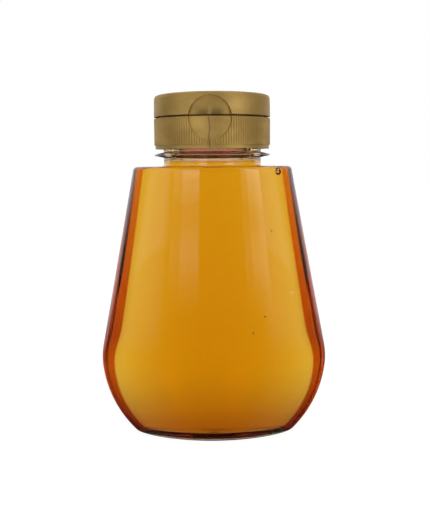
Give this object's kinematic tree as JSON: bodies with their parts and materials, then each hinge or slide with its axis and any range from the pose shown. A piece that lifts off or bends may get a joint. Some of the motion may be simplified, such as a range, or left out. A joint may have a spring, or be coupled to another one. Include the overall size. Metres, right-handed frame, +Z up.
{
  "type": "plastic honey dispenser",
  "caption": "Clear oval squeeze bottle filled with honey, with a round neck, a support ring and a ribbed gold flip-top cap.",
  "frame": {"origin": "on the standing plane, under the middle of the round neck", "axes": "+Z up from the base to the cap, +X along the long side of the oval, +Y towards the back, where the lid's hinge is"},
  "size_m": [0.0904, 0.0456, 0.134],
  "materials": {
    "clear_plastic": "clear gloss plastic",
    "honey": "clear amber liquid",
    "gold_cap": "satin gold metallic plastic"
  },
  "bodies": {
    "filled_bottle": {"bottle": "clear_plastic", "honey": "honey", "cap_base": "gold_cap"},
    "flip_lid": {"cap_lid": "gold_cap"}
  },
  "joints": [
    {"name": "lid_hinge", "type": "hinge", "parent": "filled_bottle", "child": "flip_lid", "pos_m": [0.00076, 0.02299, 0.1256], "axis": [-0.9995, 0.0332, 0], "range_deg": [0, 130]}
  ]
}
